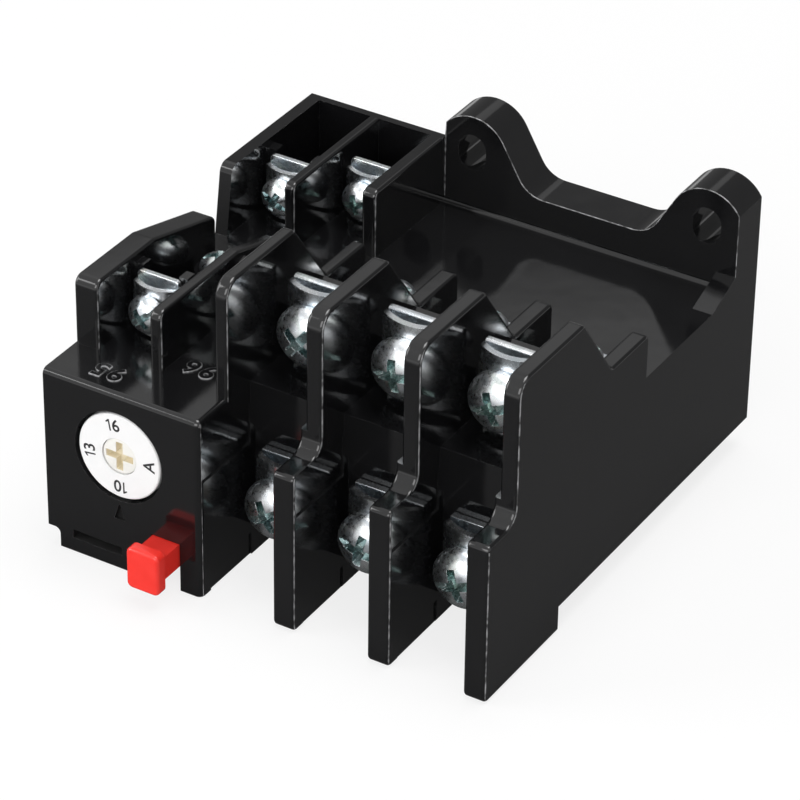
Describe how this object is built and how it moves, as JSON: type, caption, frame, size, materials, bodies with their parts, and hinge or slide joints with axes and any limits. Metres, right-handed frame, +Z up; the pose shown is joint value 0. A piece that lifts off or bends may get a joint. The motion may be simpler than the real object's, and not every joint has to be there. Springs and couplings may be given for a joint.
{
  "type": "thermal overload relay",
  "caption": "Separately mounted thermal overload relay: finned black moulding with clamp terminals, current setting dial, push button, auxiliary terminals and a rear plate with slotted ears.",
  "frame": {"origin": "midway between the two ear slots, on the plane of the back", "axes": "+X along the row of poles, left to right seen from the dial side; +Y back into the panel; +Z up"},
  "size_m": [0.0705, 0.0805, 0.0468],
  "materials": {
    "phenolic": "glossy moulded black",
    "white_plastic": "satin",
    "cream_plastic": "glossy",
    "red_plastic": "glossy",
    "inner_plastic": "satin",
    "zinc_plate": "bright zinc plate",
    "contact_metal": "satin",
    "brass": "machined",
    "bimetal": "rolled",
    "heater_metal": "dull",
    "glass_sleeve": "woven",
    "spring_steel": "bright"
  },
  "bodies": {
    "base": {"housing": "phenolic", "bottom_cover": "phenolic", "cover_screws": "zinc_plate", "line_terminal_1": "zinc_plate", "line_terminal_2": "zinc_plate", "line_terminal_3": "zinc_plate", "load_terminal_1": "zinc_plate", "load_terminal_2": "zinc_plate", "load_terminal_3": "zinc_plate", "main_clamps": "zinc_plate", "main_screws": "zinc_plate", "heater_screws": "zinc_plate", "heater_posts": "brass", "contact_strip_95": "contact_metal", "contact_strip_96": "contact_metal", "contact_strip_97": "contact_metal", "contact_strip_98": "contact_metal", "aux_clamps": "zinc_plate", "aux_screws": "zinc_plate", "strap_screw": "zinc_plate", "lever_pin": "spring_steel", "reset_spring": "spring_steel", "carrier_spring": "spring_steel"},
    "dial": {"scale_disc": "white_plastic", "setting_shaft": "cream_plastic", "adjusting_cam": "cream_plastic"},
    "button": {"reset_button": "red_plastic", "button_clip": "spring_steel"},
    "bar": {"slider_bar": "inner_plastic"},
    "strip_1": {"bimetal_1": "bimetal", "heater_sleeve_1": "glass_sleeve", "heater_1": "heater_metal"},
    "strip_2": {"bimetal_2": "bimetal", "heater_sleeve_2": "glass_sleeve", "heater_2": "heater_metal"},
    "strip_3": {"bimetal_3": "bimetal", "heater_sleeve_3": "glass_sleeve", "heater_3": "heater_metal"},
    "lever": {"trip_lever": "inner_plastic"},
    "carrier": {"contact_carrier": "inner_plastic", "nc_bridge": "contact_metal", "no_bridge": "contact_metal"}
  },
  "joints": [
    {"name": "setting_turn", "type": "hinge", "parent": "base", "child": "dial", "pos_m": [-0.0343, -0.0745, -0.0196], "axis": [0, -1, 0], "range_deg": [0, 180]},
    {"name": "reset_press", "type": "slide", "parent": "base", "child": "button", "axis": [0, 1, 0], "range_m": [0, 0.003], "stiffness_N_per_m": 600, "springref_m": -0.002, "deforming": ["reset_spring"]},
    {"name": "bar_slide", "type": "slide", "parent": "base", "child": "bar", "axis": [-1, 0, 0], "range_m": [0, 0.0015], "stiffness_N_per_m": 2000, "springref_m": -0.0002},
    {"name": "lever_turn", "type": "hinge", "parent": "base", "child": "lever", "pos_m": [-0.026, -0.0242, -0.0276], "axis": [0, 0, 1], "range_deg": [0, 13.3]},
    {"name": "carrier_slide", "type": "slide", "parent": "base", "child": "carrier", "axis": [0, -1, 0], "range_m": [0, 0.00197], "deforming": ["carrier_spring"]},
    {"name": "strip_1_bend", "type": "hinge", "parent": "base", "child": "strip_1", "pos_m": [-0.0148, -0.05265, -0.0256], "axis": [0, 0, 1], "range_deg": [0, 2.5]},
    {"name": "strip_2_bend", "type": "hinge", "parent": "base", "child": "strip_2", "pos_m": [0.0002, -0.05265, -0.0256], "axis": [0, 0, 1], "range_deg": [0, 2.5]},
    {"name": "strip_3_bend", "type": "hinge", "parent": "base", "child": "strip_3", "pos_m": [0.0152, -0.05265, -0.0256], "axis": [0, 0, 1], "range_deg": [0, 2.5]}
  ],
  "couplings": [
    {"joint": "lever_turn", "follows": "bar_slide", "rad_per_m": 153.85},
    {"joint": "carrier_slide", "follows": "bar_slide", "ratio": 1.3077},
    {"joint": "strip_1_bend", "follows": "bar_slide", "rad_per_m": 28.612},
    {"joint": "strip_2_bend", "follows": "bar_slide", "rad_per_m": 28.612},
    {"joint": "strip_3_bend", "follows": "bar_slide", "rad_per_m": 28.612}
  ]
}
